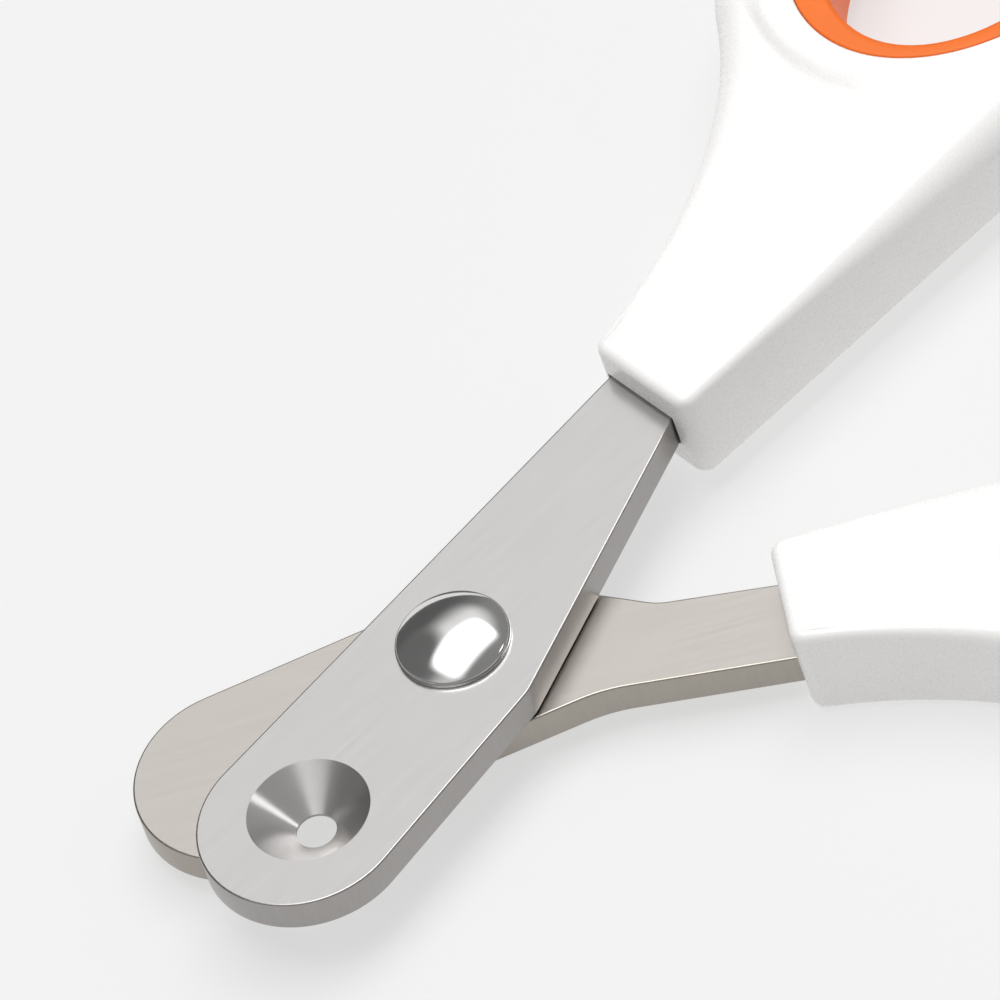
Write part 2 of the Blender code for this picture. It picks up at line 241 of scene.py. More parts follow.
class PivotSettings(bpy.types.PropertyGroup):
    dome_radius: size_property("Dome radius", "Radius of the rivet's head", 3.98)
    dome_slope: angle_property("Dome slope", "Slope of the dome where its shoulder starts", 33.0)
    shoulder_round: size_property("Shoulder round", "Round between the dome and its upright rim", 0.45)
    edge_round: size_property("Edge round", "Small round on the turned edges", 0.08)
    polished: colour_property("Polished steel", "Mirror-polished stainless steel of the rivet", "#E3E2E1")
    zinc: colour_property("Zinc plating", "Zinc-plated steel of the washer", "#C3C5C8")


class StageSettings(bpy.types.PropertyGroup):
    azimuth: angle_property("Azimuth", "Camera's turn about Z, from looking along +Y", -10.3)
    elevation: angle_property("Elevation", "Camera's height above the floor plane", 49.1)
    roll: angle_property("Roll", "Camera's turn about its own axis", 20.8)
    distance: size_property("Distance", "From the camera to the middle of its view", 2000.0)
    view_width: size_property("View width", "Width of what the camera sees", 66.67)
    floor: colour_property("Floor", "Plain pale table, lit softly from below", "#8A8A8A")
    floor_glow: FloatProperty(
        name="Floor glow", description="Strength of the table's own light", default=2.3,
    )


# Outlines, in millimetres

def tangent_angle(circle, point, turn):
    """Angle on a circle where the tangent line to an outside point touches it: the point's own
    direction plus, on the side of turn, the angle whose cosine is radius over distance."""
    centre, radius = circle
    offset = Vector(point) - Vector(centre)
    return math.atan2(offset.y, offset.x) + turn * math.acos(radius / offset.length)


def arc(centre, radius, start, end, step=math.radians(2.0)):
    """Points on a circle from the start angle to the end angle."""
    angles = np.linspace(start, end, max(3, math.ceil(abs(end - start) / step) + 1))
    return np.column_stack((centre[0] + radius * np.cos(angles), centre[1] + radius * np.sin(angles)))


def corner_arc(before, corner, after, radius):
    """Arc that rounds a corner: tangent to both of its sides, with its centre on their bisector."""
    corner = np.array(corner)
    to_before = (np.array(before) - corner) / np.linalg.norm(np.array(before) - corner)
    to_after = (np.array(after) - corner) / np.linalg.norm(np.array(after) - corner)
    half_angle = math.acos(np.clip(to_before @ to_after, -1.0, 1.0)) / 2
    middle = (to_before + to_after) / np.linalg.norm(to_before + to_after)
    centre = corner + middle * radius / math.sin(half_angle)
    first = corner + to_before * radius / math.tan(half_angle) - centre
    last = corner + to_after * radius / math.tan(half_angle) - centre
    start = math.atan2(first[1], first[0])
    turn = math.atan2(first[0] * last[1] - first[1] * last[0], first @ last)
    return arc(centre, radius, start, start + turn)


def rounded_run(first, corners, last):
    """Rounded corners (x, y, radius) in order, between a point before them and a point after them."""
    places = [first] + [corner[:2] for corner in corners] + [last]
    return np.vstack([
        corner_arc(places[i], places[i + 1], places[i + 2], corners[i][2]) for i in range(len(corners))
    ])


def even_spacing(outline, count):
    """The closed outline again with a count of points equally far apart along its length."""
    closed = np.vstack((outline, outline[:1]))
    along = np.concatenate(([0.0], np.cumsum(np.linalg.norm(np.diff(closed, axis=0), axis=1))))
    places = np.linspace(0.0, along[-1], count, endpoint=False)
    return np.column_stack([np.interp(places, along, closed[:, axis]) for axis in (0, 1)])


def outward(outline):
    """Unit normals of an anticlockwise outline: its central difference, turned a quarter clockwise."""
    ahead = np.roll(outline, -1, axis=0) - np.roll(outline, 1, axis=0)
    ahead /= np.linalg.norm(ahead, axis=1)[:, None]
    return np.column_stack((ahead[:, 1], -ahead[:, 0]))


def upper_blade_outline(count):
    """Round tip, straight back, and an inner edge that turns at the heel towards the tang."""
    heel, tang_back = (0.2, -7.3), (TANG_END, 9.55)
    top = tangent_angle(UPPER_TIP, tang_back, 1)
    bottom = tangent_angle(UPPER_TIP, heel, -1) + 2 * math.pi
    tip = arc(*UPPER_TIP, top, bottom)
    corners = [(*heel, 4.0), (23.2, 2.05, 3.0), (TANG_END, 4.2, 2.4), (*tang_back, 2.4)]
    return even_spacing(np.vstack((tip, rounded_run(tip[-1], corners, tip[0]))), count)


def lower_blade_outline(count):
    """Round tip ended by the straight shearing edge, and a body that bends at the tang."""
    hidden_heel = (2.6, -7.0)
    top = tangent_angle(LOWER_TIP, hidden_heel, -1) + 2 * math.pi
    tip = arc(*LOWER_TIP, LOWER_TIP_END, top)
    inner = [(*hidden_heel, 3.0), (13.6, -0.65, 4.0), (TANG_END, 4.2, 2.4)]
    outer = [(TANG_END, 9.6, 2.4), (24.0, 7.7, 6.0), (*STRAIGHT_EDGE_HEEL, 11.0)]
    return even_spacing(np.vstack((tip, rounded_run(tip[-1], inner + outer, tip[0]))), count)


def blade_outline(side, count):
    """Outline of the blade of one half."""
    return upper_blade_outline(count) if side == UPPER else lower_blade_outline(count)


def handle_outline(count):
    """Straight inner edge, the round far end of the ring, and a neck that sweeps in to the blade on
    a cubic Bezier curve."""
    angles = np.linspace(-math.pi / 2, RING_END, RING_POINTS)
    ring = np.array(RING_CENTRE) + RING_AXES * np.column_stack((np.cos(angles), np.sin(angles)))
    heading = np.array(RING_AXES) * (math.sin(RING_END), -math.cos(RING_END))
    heading /= np.linalg.norm(heading)
    neck_end = np.array((HANDLE_START, INNER_EDGE + NECK_WIDTH))
    first_pull = ring[-1] - NECK_PULLS[1] * heading
    last_pull = neck_end + NECK_PULLS[0] * np.array((math.cos(NECK_SLOPE), math.sin(NECK_SLOPE)))
    t = np.linspace(0.0, 1.0, NECK_POINTS)[1:-2, None]
    pulled = 3 * (1 - t) ** 2 * t * first_pull + 3 * (1 - t) * t ** 2 * last_pull
    neck = (1 - t) ** 3 * ring[-1] + pulled + t ** 3 * neck_end
    corners = [(*neck_end, HANDLE_END_CORNER), (HANDLE_START, INNER_EDGE, HANDLE_END_CORNER)]
    return even_spacing(np.vstack((ring, neck, rounded_run(neck[-1], corners, ring[0]))), count)


def grown(outline, distance):
    """The outline moved outwards along its normals."""
    return outline + distance * outward(outline)


def oval(centre, semi_axes, angles, tilt=0.0):
    """Ellipse points whose polar direction about the centre is each given angle."""
    turned = angles - tilt
    reach = 1.0 / np.hypot(np.cos(turned) / semi_axes[0], np.sin(turned) / semi_axes[1])
    return np.column_stack((centre[0] + reach * np.cos(angles), centre[1] + reach * np.sin(angles)))


# Meshes

def to_world(side, points, z):
    """Half frame to world, in metres: q is mirrored on the lower half, then the half is swung open."""
    turn = side * HALF_OPENING
    p, q = points[..., 0], side * points[..., 1]
    x = p * math.cos(turn) - q * math.sin(turn)
    y = p * math.sin(turn) + q * math.cos(turn)
    return np.stack((x, y, np.broadcast_to(z, x.shape)), axis=-1) * MM


def along_lengths(points):
    """Running length of a path of points, starting at 0."""
    return np.concatenate(([0.0], np.cumsum(np.linalg.norm(np.diff(points, axis=0), axis=1))))


class Shell:
    """Grids and caps of one closed piece, gathered in metres and then made one mesh."""

    def __init__(self):
        self.points = []
        self.faces = []
        self.finishes = []
        self.flats = []
        self.maps = []
        self.count = 0

    def grid(self, points, finish=0, closed_rows=False, closed_columns=True, left_out=None):
        """Quads between neighbouring points of a rows x columns grid. The surface map runs along the
        first row in U and down the first column in V, both in metres."""
        rows, columns = points.shape[:2]
        cells = (rows if closed_rows else rows - 1, columns if closed_columns else columns - 1)
        row, column = np.meshgrid(np.arange(cells[0]), np.arange(cells[1]), indexing="ij")
        kept = np.ones(cells, bool) if left_out is None else ~left_out
        row, column = row[kept], column[kept]
        corner_rows = np.stack((row, row, row + 1, row + 1), axis=-1)
        corner_columns = np.stack((column, column + 1, column + 1, column), axis=-1)
        quads = (corner_rows % rows) * columns + corner_columns % columns + self.count
        across = along_lengths(np.vstack((points[0], points[0, :1])))
        down = along_lengths(np.vstack((points[:, 0], points[:1, 0])))
        self.faces += quads.tolist()
        self.maps.append(np.stack((across[corner_columns], down[corner_rows]), axis=-1).reshape(-1, 2))
        self.finishes.append(np.broadcast_to(finish, cells)[kept])
        self.flats.append(np.zeros(len(quads), bool))
        self.points.append(points.reshape(-1, 3))
        self.count += rows * columns

    def cap(self, side, loops, z, finish=0):
        """Flat face at one height: triangles between an outer loop and the loops of its holes."""
        flat = to_world(side, np.vstack(loops), z)
        plan = [np.column_stack((loop, np.zeros(len(loop)))).tolist() for loop in loops]
        triangles = np.array(tessellate_polygon(plan))
        self.faces += (triangles + self.count).tolist()
        self.maps.append(flat[triangles].reshape(-1, 3)[:, :2])
        self.finishes.append(np.full(len(triangles), finish))
        self.flats.append(np.ones(len(triangles), bool))
        self.points.append(flat)
        self.count += len(flat)

    def finish(self, name, materials, sharp_degrees=30.0):
        """The piece itself: seams merged, faces turned outwards, flat caps, and smooth grids that
        are sharp only past an angle."""
        mesh = bpy.data.meshes.new(name)
        mesh.from_pydata(np.vstack(self.points).tolist(), [], self.faces)
        mesh.polygons.foreach_set("material_index", np.concatenate(self.finishes).astype(np.int32))
        mesh.polygons.foreach_set("use_smooth", ~np.concatenate(self.flats))
        surface = mesh.uv_layers.new(name="surface")
        surface.data.foreach_set("uv", np.vstack(self.maps).astype(np.float32).ravel())
        work = bmesh.new()
        work.from_mesh(mesh)
        bmesh.ops.remove_doubles(work, verts=work.verts, dist=MERGE_DISTANCE)
        bmesh.ops.recalc_face_normals(work, faces=work.faces)
        if work.calc_volume(signed=True) < 0:
            bmesh.ops.reverse_faces(work, faces=work.faces)
        open_edges = [edge for edge in work.edges if not edge.is_manifold]
        if open_edges:
            place = open_edges[0].verts[0].co
            raise RuntimeError(f"{name} isn't closed: {len(open_edges)} edges, one at {place}")
        smooth = [face.smooth for face in work.faces]
        work.to_mesh(mesh)
        work.free()
        mesh.set_sharp_from_angle(angle=math.radians(sharp_degrees))
        mesh.polygons.foreach_set("use_smooth", smooth)
        for material in materials:
            mesh.materials.append(material)
        piece = bpy.data.objects.new(name, mesh)
        bpy.context.scene.collection.objects.link(piece)
        return piece


def turned_grid(profile, centre=(0.0, 0.0)):
    """Rows of a turned surface: each (radius, height) of a profile carried round an upright axis."""
    profile = np.array(profile)
    angles = np.linspace(0.0, 2 * math.pi, TURNED_COLUMNS, endpoint=False)
    x = centre[0] + profile[:, 0, None] * np.cos(angles)
    y = centre[1] + profile[:, 0, None] * np.sin(angles)
    return np.stack((x, y, np.broadcast_to(profile[:, 1, None], x.shape)), axis=-1) * MM


def rounded_profile(corners):
    """Profile points (radius, height) through corners (radius, height, round): a corner with a
    round above 0 becomes an arc."""
    points = []
    for index, (radius, height, corner_round) in enumerate(corners):
        if corner_round == 0.0:
            points.append([(radius, height)])
        else:
            before, after = corners[index - 1][:2], corners[index + 1][:2]
            points.append(corner_arc(before, (radius, height), after, corner_round))
    return np.vstack(points)


def quarter_round(steps):
    """Rise 1 - cos and fall 1 - sin of a quarter turn, the two offsets of a round of radius 1."""
    angles = np.linspace(0.0, math.pi / 2, steps)[:, None]
    return 1 - np.cos(angles), 1 - np.sin(angles)


def smooth_step(low, high, value):
    """0 below low, 1 above high, and 3t^2 - 2t^3 in between."""
    t = np.clip((value - low) / (high - low), 0.0, 1.0)
    return t * t * (3 - 2 * t)


def circle(centre, radius):
    """Points of a full circle, as many as a turned piece has columns."""
    angles = np.linspace(0.0, 2 * math.pi, TURNED_COLUMNS, endpoint=False)
    return np.column_stack((centre[0] + radius * np.cos(angles), centre[1] + radius * np.sin(angles)))


def upright_wall(side, loop, heights):
    """Rows of the same loop at each height."""
    rows = np.broadcast_to(loop, (len(heights), *loop.shape))
    return to_world(side, rows, np.array(heights)[:, None])


# Shapes

def blade_shell(side, bottom, top, settings):
    """Flat blade: a wall with round edges carried along the outline, and two flat faces with holes.

    Each row of the wall is an inset from the outline and a height. Along the lower blade's shearing
    edge, the rows of the bottom round move to a straight bevel that reaches in under the edge, with
    a smooth run-out at both ends.
    """
    outline = blade_outline(side, BLADE_COLUMNS)
    edge = settings.edge_break / MM
    rise, fall = quarter_round(steps=6)
    ones = np.ones(len(outline))
    insets = np.vstack((edge * fall, edge * rise)) * ones
    heights = np.vstack((bottom + edge * rise, top - edge * fall)) * ones
    finish = np.full((len(insets) - 1, len(outline)), RIM_FINISH)
    if side == LOWER:
        depth = top - bottom - settings.edge_land / MM
        down = np.linspace(1.0, 0.0, len(rise))[:, None]
        p, q = outline.T
        on_edge = smooth_step(EDGE_SPAN[0], EDGE_SPAN[0] + RUN_OUT, p)
        on_edge *= smooth_step(-EDGE_SPAN[1], RUN_OUT - EDGE_SPAN[1], -p) * (q > STRAIGHT_EDGE_HEEL[1])
        bevel = slice(0, len(rise))
        insets[bevel] += on_edge * (depth * math.tan(settings.edge_angle) * down - insets[bevel])
        heights[bevel] += on_edge * (bottom + depth * (1 - down) - heights[bevel])
        finish[:len(rise) - 1, on_edge > 0.5] = FACE_FINISH
    rows = outline - insets[..., None] * outward(outline)
    shell = Shell()
    shell.grid(to_world(side, rows, heights), finish)
    holes = [circle((0.0, 0.0), PIVOT_HOLE_RADIUS)]
    holes += [circle(centre, ANCHOR_RADIUS) for centre in ANCHORS[side]]
    for hole in holes:
        shell.grid(upright_wall(side, hole, (bottom, top)), RIM_FINISH)
    top_holes, bottom_holes = list(holes), list(holes)
    if side == UPPER:
        cone = circle(CLAW_HOLE_CENTRE, settings.countersink / MM)
        hole = circle(CLAW_HOLE_CENTRE, settings.claw_hole / MM)
        land = bottom + CLAW_HOLE_LAND
        sloped = to_world(side, np.stack((cone, hole)), np.array((top, land))[:, None])
        shell.grid(sloped, CONE_FINISH)
        shell.grid(upright_wall(side, hole, (land, bottom)), RIM_FINISH)
        top_holes.append(cone)
        bottom_holes.append(hole)
    shell.cap(side, [rows[-1], *top_holes], top, FACE_FINISH)
    shell.cap(side, [rows[0], *bottom_holes], bottom, FACE_FINISH)
    return shell


def rim_drop(points, height):
    """How far the handle's top lies below the ring's rim: a smooth step across an oval round the
    opening, narrow towards the neck and wider, so that it fades, along the ring's sides."""
    away = points - np.array(RIM_CENTRE)
    reach = np.hypot(away[..., 0] / RIM[0], away[..., 1] / RIM[1])
    neckward = -away[..., 0] / np.hypot(away[..., 0], away[..., 1])
    width = RIM_STEP + RIM_FADE * (1 - smooth_step(*NECKWARD, neckward))
    return height * smooth_step(1 - width, 1 + width, reach)


def socket_path(side, outline, gap):
    """Where the tang's socket leaves the handle's end face, and its path inside the handle.

    The outline's points nearest to the two crossings are moved along the end face onto the
    socket's edges. Returns their indices, outer crossing first, and the inside path from the
    inner crossing round the tang's end to the outer one.
    """
    socket = grown(blade_outline(side, BLADE_COLUMNS), gap)
    inside = socket[socket[:, 0] > HANDLE_START + MOUTH_DEPTH]
    middle = inside[np.argmax(inside[:, 0]), 1] / 2 + TANG_MIDDLE_RISE
    crossings = []
    for is_outer in (True, False):
        near = abs(socket[:, 0] - HANDLE_START) < MOUTH_REACH
        branch = socket[near & ((socket[:, 1] > middle) == is_outer)]
        branch = branch[np.argsort(branch[:, 0])]
        edge_q = np.interp(outline[:, 0], branch[:, 0], branch[:, 1])
        on_end_face = outline[:, 0] < HANDLE_START + END_FACE_DEPTH
        off = np.where(on_end_face, abs(outline[:, 1] - edge_q), np.inf)
        index = int(np.argmin(off))
        outline[index, 1] = edge_q[index]
        crossings.append(index)
    return crossings, inside


def opening_angles(outline):
    """Angle on the opening that each outline point is joined to: its own direction from the middle
    of the opening, mixed with its share of the outline's length, so that the neck's long edges fan
    out. The far end of the ring keeps its direction."""
    away = outline - np.array(OPENING_CENTRE)
    own = np.unwrap(np.arctan2(away[:, 1], away[:, 0]))
    length = along_lengths(outline)
    mixed = own + LENGTH_SHARE * length
    share = (mixed - mixed[0]) / (mixed[-1] - mixed[0])
    turn = share * 2 * math.pi * (1 - 1 / len(outline))
    far = np.argmax(outline[:, 0])
    return turn - turn[far] + own[far]


def handle_shell(side, bottom, top, blade_levels, settings):
    """Moulded ring handle, one grid that goes once round its section.

    Every column of the grid starts at one point of the outline. It runs over the underside's round,
    up the wall, over the top round, whose radius grows from the blade end to the ring, across the
    top face on a straight line towards the middle of the opening, and down the opening's wall. The
    wall is left open where the tang's socket goes in, with two posts that fill the tang's holes.
    """
    outline = handle_outline(HANDLE_COLUMNS)
    normals = outward(outline)
    (outer, inner), inside = socket_path(side, outline, TANG_SIDE_GAP)
    gap_above = settings.socket_gap / MM if side == UPPER else TANG_SEAT_GAP
    slot = (blade_levels[0] - TANG_SEAT_GAP, blade_levels[1] + gap_above)
    angles = opening_angles(outline)
    end_round = settings.blade_end_round
    grow = smooth_step(*ROUND_GROWS, outline[:, 0])
    top_round = (end_round + (settings.ring_round - end_round) * grow) / MM
    under_round = settings.under_round / MM

    under_rise, under_fall = quarter_round(steps=7)
    top_rise, top_fall = quarter_round(steps=14)
    crest = outline - top_round[:, None] * normals
    crest_z = top - rim_drop(crest, settings.rim_height / MM)
    ones = np.ones(len(outline))
    insets = np.vstack((under_round * under_fall * ones, 0 * ones, 0 * ones, top_round * top_rise))
    heights = np.vstack((
        (bottom + under_round * under_rise) * ones, slot[0] * ones, slot[1] * ones,
        crest_z - top_round * top_fall,
    ))
    skirt = outline - insets[..., None] * normals
    seat_rise, seat_fall = (OPENING_EDGE_ROUND * part for part in quarter_round(steps=5))
    seat = [oval(OPENING_CENTRE, np.array(OPENING) + out, angles) for out in seat_fall[:, 0]]
    across = np.linspace(0.0, 1.0, FACE_ROWS)[1:-1, None, None]
    face = crest + across * (seat[0] - crest)
    face_z = top - rim_drop(face, settings.rim_height / MM)
    wall = np.stack(seat)
    rows = np.concatenate((skirt, face, wall, wall[::-1]))
    wall_z = (top - seat_rise) * ones
    under_z = (bottom + seat_rise[::-1]) * ones
    all_heights = np.concatenate((heights, face_z, wall_z, under_z))

    shell = Shell()
    left_out = np.zeros((len(rows), len(outline)), bool)
    left_out[len(under_rise), outer:inner] = True
    shell.grid(to_world(side, rows, all_heights), closed_rows=True, left_out=left_out)
    mouth = outline[outer:inner + 1]
    path = np.vstack((mouth[-1:], inside, mouth[:1]))
    socket_wall = to_world(side, np.stack((path, path)), np.array(slot)[:, None])
    shell.grid(socket_wall, closed_columns=False)
    posts = [circle(centre, ANCHOR_RADIUS - TANG_SIDE_GAP) for centre in ANCHORS[side]]
    for post in posts:
        shell.grid(upright_wall(side, post, slot))
    for height in slot:
        shell.cap(side, [np.vstack((mouth, inside)), *posts], height)
    return shell


def liner_shell(side, bottom, top, settings):
    """Soft ring between the oval opening and a smaller tilted oval. At each angle its section is a
    rectangle between the two ovals with small rounds at the seat and wide rounds at the lips."""
    angles = np.linspace(0.0, 2 * math.pi, LINER_COLUMNS, endpoint=False)
    outer = oval(OPENING_CENTRE, np.array(OPENING) - settings.seat_gap / MM, angles)
    inner = oval(LINER_HOLE_CENTRE, LINER_HOLE, angles, LINER_HOLE_TILT)
    width = np.linalg.norm(inner - outer, axis=1)
    lip = np.minimum(settings.lip_round / MM, LIP_SHARE * width)
    seat = np.minimum(SEAT_ROUND, SEAT_SHARE * width)
    rise, fall = quarter_round(steps=9)
    across = np.concatenate((seat * rise, width - lip * fall))
    reach = np.concatenate((across, across[::-1]))
    top_z = np.concatenate((top - seat * fall, top - lip * rise))
    under_z = bottom + top - top_z[::-1]
    rows = outer + (reach / width)[..., None] * (inner - outer)
    shell = Shell()
    shell.grid(to_world(side, rows, np.concatenate((top_z, under_z))), closed_rows=True)
    return shell


def turned_shell(profile):
    """Turned piece. A profile that starts off the axis is a ring, so its last row meets its first."""
    shell = Shell()
    shell.grid(turned_grid(profile), closed_rows=profile[0][0] > 0.0)
    return shell


# Materials

def add_node(tree, kind, settings=None, inputs=None):
    """Add one node, set its own settings, and set or link its inputs."""
    node = tree.nodes.new(kind)
    for key, value in (settings or {}).items():
        setattr(node, key, value)
    for key, value in (inputs or {}).items():
        if isinstance(value, bpy.types.NodeSocket):
            tree.links.new(value, node.inputs[key])
        else:
            node.inputs[key].default_value = value
    return node


def start_material(name):
    """A new material's empty node tree, and its Object coordinates."""
    material = bpy.data.materials.new(name)
    material.use_nodes = True
    material.node_tree.nodes.clear()
    tree = material.node_tree
    return material, tree, add_node(tree, "ShaderNodeTexCoord").outputs["Object"]


def finish_material(material, inputs):
    """The Principled shader that ends a material."""
    tree = material.node_tree
    shader = add_node(tree, "ShaderNodeBsdfPrincipled", None, inputs)
    add_node(tree, "ShaderNodeOutputMaterial", None, {"Surface": shader.outputs["BSDF"]})
    return material


def noise(tree, place, feature_mm, detail=2.0):
    """Noise whose features are about feature_mm across."""
    inputs = {"Vector": place, "Scale": 1.0 / (feature_mm * MM), "Detail": detail, "Roughness": 0.55}
    return add_node(tree, "ShaderNodeTexNoise", None, inputs).outputs["Fac"]


def stretched(tree, place, size_mm, turn=0.0):
    """Coordinates in units of size_mm along each axis, so that a noise of scale 1 has features that
    long, turned about the upright axis."""
    inputs = {"Vector": place, "Rotation": (0.0, 0.0, turn), "Scale": tuple(size * MM for size in size_mm)}
    return add_node(tree, "ShaderNodeMapping", {"vector_type": "TEXTURE"}, inputs).outputs["Vector"]


def shades(tree, factor, colour, darkest):
    """Colour that runs from a darkest share of itself to itself as the factor goes from 0.3 to 0.7."""
    node = add_node(tree, "ShaderNodeValToRGB", None, {"Fac": factor})
    low, high = node.color_ramp.elements
    low.position, high.position = 0.3, 0.7
    low.color = (*(channel * darkest for channel in colour), 1.0)
    high.color = (*colour, 1.0)
    return node.outputs["Color"]


def spread(tree, factor, low, high):
    """Value that runs from low to high as the factor goes from 0.3 to 0.7."""
    inputs = {"Value": factor, "From Min": 0.3, "From Max": 0.7, "To Min": low, "To Max": high}
    return add_node(tree, "ShaderNodeMapRange", None, inputs).outputs["Result"]


def relief(tree, height, depth_mm, strength=1.0, below=None):
    """Bump of a real depth, over another bump's normal if there is one."""
    inputs = {"Height": height, "Distance": depth_mm * MM, "Strength": strength}
    if below is not None:
        inputs["Normal"] = below
    return add_node(tree, "ShaderNodeBump", None, inputs).outputs["Normal"]


def ground_stainless(name, colour, along, spacing):
    """Stainless steel sheet (AISI 420), belt-ground and satined. It gives an even light grey whose
    fine lines run along the blade and stretch its reflections a little."""
    material, tree, place = start_material(name)
    line = spacing / MM
    lines = add_node(tree, "ShaderNodeTexNoise", None, {
        "Vector": stretched(tree, place, (30 * line, line, line), along), "Scale": 1.0, "Detail": 3.0,
    }).outputs["Fac"]
    # Cloudy patches 7 mm across, where the belt pressed more or less.
    patches = noise(tree, place, 7.0)
    tint = add_node(tree, "ShaderNodeMix", {"data_type": "RGBA"}, {
        "Factor": 0.5, "A": shades(tree, patches, colour, 0.985), "B": shades(tree, lines, colour, 0.975),
    })
    return finish_material(material, {
        "Base Color": tint.outputs["Result"],
        "Metallic": 1.0,
        "Roughness": spread(tree, lines, 0.22, 0.26),
        "Normal": relief(tree, lines, 0.001, 0.15),
    })


def shaded_blanked_rim_steel(name, colour):
    """Side of a blanked and tumbled steel sheet: duller and darker than the ground faces, with short
    upright press marks. Part of the darkness is painted shade: the colour is lowered for the shadowed floor
    that the upright sides reflect."""
    material, tree, place = start_material(name)
    # Press marks 0.3 mm apart and 2 mm high.
    marks = add_node(tree, "ShaderNodeTexNoise", None, {
        "Vector": stretched(tree, place, (0.3, 0.3, 2.0)), "Scale": 1.0, "Detail": 3.0,
    }).outputs["Fac"]
    return finish_material(material, {
        # Base colour includes painted shade: darker than the blanked steel alone.
        "Base Color": shades(tree, marks, colour, 0.93),
        "Metallic": 1.0,
        "Roughness": spread(tree, marks, 0.3, 0.36),
        "Normal": relief(tree, marks, 0.01, 0.3),
    })


def turned_cone_steel(name, colour):
    """Countersink cut with a rotating tool: bright steel whose rings stretch every reflection into a
    narrow streak down the cone."""
    material, tree, place = start_material(name)
    tangent = add_node(tree, "ShaderNodeTangent", {"direction_type": "UV_MAP", "uv_map": "surface"})
    haze = noise(tree, place, 1.2)
    return finish_material(material, {
        "Base Color": shades(tree, haze, colour, 0.96),
        "Metallic": 1.0,
        "Roughness": 0.25,
        "Anisotropic": 0.75,
        "Anisotropic Rotation": 0.25,
        "Tangent": tangent.outputs["Tangent"],
    })


def polished_stainless(name, colour):
    """Stainless rivet head, turned and buffed to a mirror: sharp bright reflections with a trace of
    buffing haze."""
    material, tree, place = start_material(name)
    haze = noise(tree, place, 1.5, 3.0)
    # Buffing scratches, 0.08 mm wide.
    scratches = noise(tree, place, 0.08, 3.0)
    return finish_material(material, {
        "Base Color": shades(tree, haze, colour, 0.97),
        "Metallic": 1.0,
        "Roughness": spread(tree, haze, 0.07, 0.11),
        "Normal": relief(tree, scratches, 0.0004, 0.2),
    })


def zinc_plated_steel(name, colour):
    """Zinc-plated steel, bright dipped: bluish grey with soft crystalline mottling."""
    material, tree, place = start_material(name)
    mottle = noise(tree, place, 0.5, 4.0)
    return finish_material(material, {
        "Base Color": shades(tree, mottle, colour, 0.88),
        "Metallic": 1.0,
        "Roughness": spread(tree, mottle, 0.3, 0.42),
        "Normal": relief(tree, mottle, 0.004, 0.3),
    })


def moulded_abs(name, colour):
    """Injection-moulded ABS from a polished mould: glossy white with a faint waviness in its shine."""
    material, tree, place = start_material(name)
    # Slow waves 3 mm long, and the fine grain of the moulded skin, 0.15 mm.
    waves = noise(tree, place, 3.0, 1.0)
    grain = noise(tree, place, 0.15)
    return finish_material(material, {
        "Base Color": shades(tree, waves, colour, 0.985),
        "Roughness": spread(tree, grain, 0.26, 0.3),
        "IOR": 1.54,
        "Normal": relief(tree, waves, 0.01, 0.25),
    })


def soft_grip_rubber(name, colour):
    """Thermoplastic rubber (TPE) moulded over a blasted mould: saturated orange, satin, with a fine
    matt grain and a soft glow at grazing angles."""
    material, tree, place = start_material(name)
    # Blast grain 0.2 mm across, and a slow drift of colour over 8 mm.
    grain = noise(tree, place, 0.2, 3.0)
    drift = noise(tree, place, 8.0, 1.0)
    return finish_material(material, {
        "Base Color": shades(tree, drift, colour, 0.95),
        "Roughness": spread(tree, grain, 0.45, 0.58),
        "IOR": 1.5,
        "Sheen Weight": 0.08,
        "Normal": relief(tree, grain, 0.01, 0.35),
    })


# Operators

def settle(piece, node, body):
    """The piece stands for a frame node and moves with its body."""
    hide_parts(node)
    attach(piece, body)


def build_blade(side, colour, rim_steel_and_shade, extra_materials=()):
    """Build the blade of one half, with its face, rim and any other steel."""
    settings = bpy.context.scene.trimmer_blades
    half = "upper" if side == UPPER else "lower"
    node = half_node(side, "blade")
    shell = blade_shell(side, *levels(node), settings)
    turn = side * HALF_OPENING
    ground = ground_stainless(f"ground_stainless_{half}", colour, turn, settings.grind_spacing)
    # The rim's material carries painted shade in its colour.
    rim = shaded_blanked_rim_steel(f"blanked_steel_rim_and_shade_{half}", rim_steel_and_shade)
    piece = shell.finish(f"ground_{half}_blade", [ground, rim, *extra_materials])
    settle(piece, node, HALF_BODIES[side])


class TRIMMER_OT_upper_blade(bpy.types.Operator):
    """Build the upper blade, with its countersunk claw hole"""

    bl_idname = "trimmer.upper_blade"
    bl_label = "Upper Blade"

    def execute(self, context):
        settings = context.scene.trimmer_blades
        cone = turned_cone_steel("turned_countersink_steel", settings.upper_colour)
        build_blade(UPPER, settings.upper_colour, settings.upper_rim_steel_and_shade, [cone])
        return {"FINISHED"}


class TRIMMER_OT_lower_blade(bpy.types.Operator):
    """Build the lower blade, with its ground shearing edge"""

    bl_idname = "trimmer.lower_blade"
    bl_label = "Lower Blade"

    def execute(self, context):
        settings = context.scene.trimmer_blades
        build_blade(LOWER, settings.lower_colour, settings.lower_rim_steel_and_shade)
        return {"FINISHED"}


class TRIMMER_OT_handles(bpy.types.Operator):
    """Build the two moulded ring handles"""

    bl_idname = "trimmer.handles"
    bl_label = "Handles"

    def execute(self, context):
        settings = context.scene.trimmer_handles
        plastic = moulded_abs("glossy_moulded_abs", settings.plastic)
        for side, body in HALF_BODIES.items():
            node = half_node(side, "handle")
            shell = handle_shell(side, *levels(node), levels(half_node(side, "blade")), settings)
            settle(shell.finish("moulded_" + node, [plastic]), node, body)
        return {"FINISHED"}


